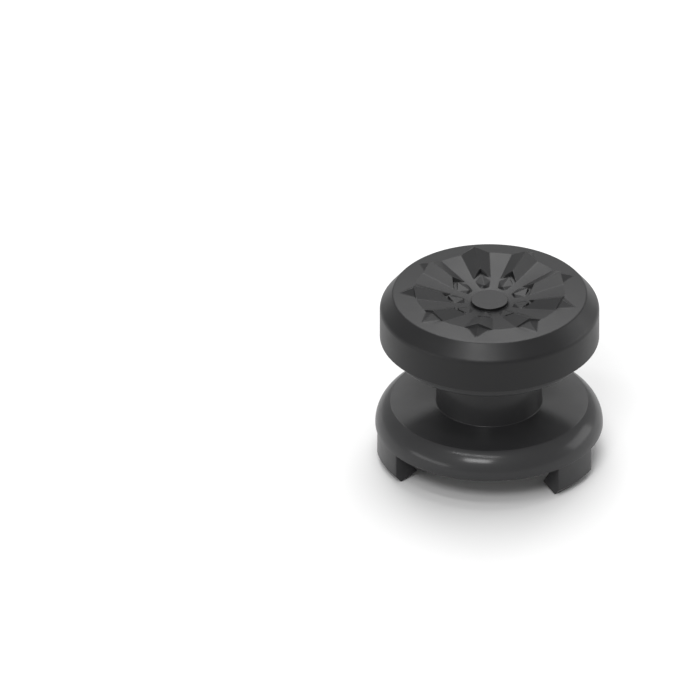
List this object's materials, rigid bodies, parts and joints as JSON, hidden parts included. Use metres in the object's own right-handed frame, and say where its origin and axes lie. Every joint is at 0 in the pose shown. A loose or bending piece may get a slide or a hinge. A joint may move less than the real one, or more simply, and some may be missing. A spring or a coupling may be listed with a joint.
{
  "type": "controller thumb grip",
  "caption": "Tall clip-on thumb grip: a round soft pad with raised petals on a hard waisted stem, over a dished rim with snap hooks that grip a stick cap.",
  "frame": {"origin": "on the grip's axis, in the plane that the tips of the snap hooks stand on", "axes": "+Z along the axis from the hooks towards the thumb pad; -Y is the front, midway between two hooks, and one petal points along -Y"},
  "size_m": [0.0228, 0.0228, 0.0193],
  "materials": {
    "hard_plastic": "satin black, injection moulded, softly glossy",
    "soft_rubber": "matt black, moulded silicone rubber with fine grain"
  },
  "bodies": {
    "root": {"clip_base": "hard_plastic", "thumb_pad": "soft_rubber"}
  },
  "joints": []
}
